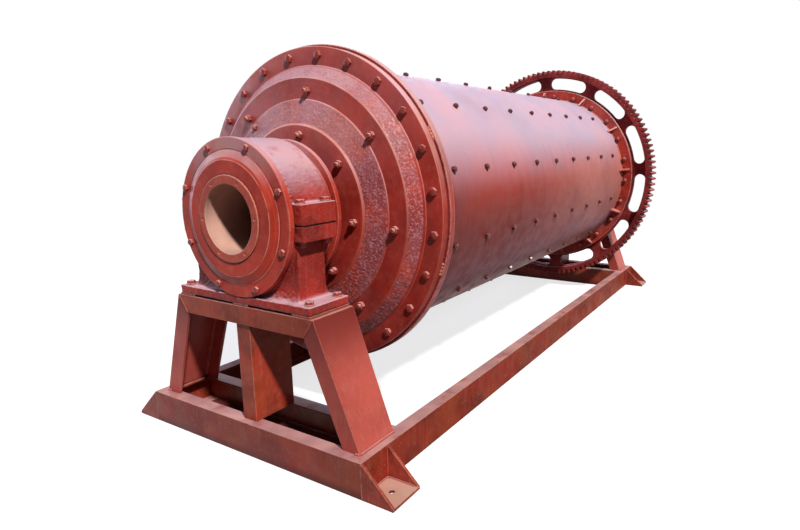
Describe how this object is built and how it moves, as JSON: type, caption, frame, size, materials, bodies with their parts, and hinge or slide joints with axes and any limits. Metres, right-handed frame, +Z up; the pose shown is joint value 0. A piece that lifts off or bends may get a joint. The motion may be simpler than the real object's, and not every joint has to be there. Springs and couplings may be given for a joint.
{
  "type": "ball mill on a channel frame",
  "caption": "Horizontal ball mill: a bolted rolled drum with a spoked girth gear turns on hollow trunnions in split bearing housings on a welded channel frame.",
  "frame": {"origin": "middle of the frame's footprint, on the floor", "axes": "+X along the mill axis from the feed end to the girth gear end, +Z up"},
  "size_m": [3.7, 1.7076, 1.8168],
  "materials": {
    "frame_paint": "red oxide primer on rolled channel, semi-gloss",
    "housing_paint": "red oxide primer on rough sand casting",
    "head_paint": "red oxide primer, rough cones and turned rings",
    "shell_paint": "streaky red oxide primer on rolled plate",
    "gear_paint": "red oxide primer on cut teeth",
    "trunnion_paint": "red oxide primer, thin and tan inside the bore",
    "shim_steel": "primed steel packing",
    "bearing_metal": "bearing bronze, hidden inside the housing"
  },
  "bodies": {
    "frame": {"base_rail_left": "frame_paint", "base_rail_right": "frame_paint", "feed_end_beam": "frame_paint", "feed_inner_beam": "frame_paint", "feed_foot_left": "frame_paint", "feed_foot_right": "frame_paint", "feed_stand_leg_left": "frame_paint", "feed_stand_leg_right": "frame_paint", "feed_stand_leg_middle": "frame_paint", "feed_stand_head": "frame_paint", "feed_bearing_shims": "shim_steel", "feed_housing_base": "housing_paint", "feed_housing_cap": "housing_paint", "feed_bearing_bush": "bearing_metal", "feed_outer_cover": "housing_paint", "feed_inner_cover": "housing_paint", "drive_end_beam": "frame_paint", "drive_inner_beam": "frame_paint", "drive_foot_left": "frame_paint", "drive_foot_right": "frame_paint", "drive_stand_leg_left": "frame_paint", "drive_stand_leg_right": "frame_paint", "drive_stand_leg_middle": "frame_paint", "drive_stand_head": "frame_paint", "drive_bearing_shims": "shim_steel", "drive_housing_base": "housing_paint", "drive_housing_cap": "housing_paint", "drive_bearing_bush": "bearing_metal", "drive_outer_cover": "housing_paint", "drive_inner_cover": "housing_paint"},
    "drum": {"drum_shell": "shell_paint", "girth_gear": "gear_paint", "feed_head": "head_paint", "feed_trunnion": "trunnion_paint", "feed_trunnion_ring": "trunnion_paint", "feed_shell_flange": "shell_paint", "feed_flange_ribs": "shell_paint", "drive_head": "head_paint", "drive_trunnion": "trunnion_paint", "drive_trunnion_ring": "trunnion_paint", "drive_shell_flange": "shell_paint", "drive_flange_ribs": "shell_paint"}
  },
  "joints": [
    {"name": "drum_rotation", "type": "hinge", "parent": "frame", "child": "drum", "pos_m": [0, 0, 0.963], "axis": [1, 0, 0], "continuous": true}
  ]
}
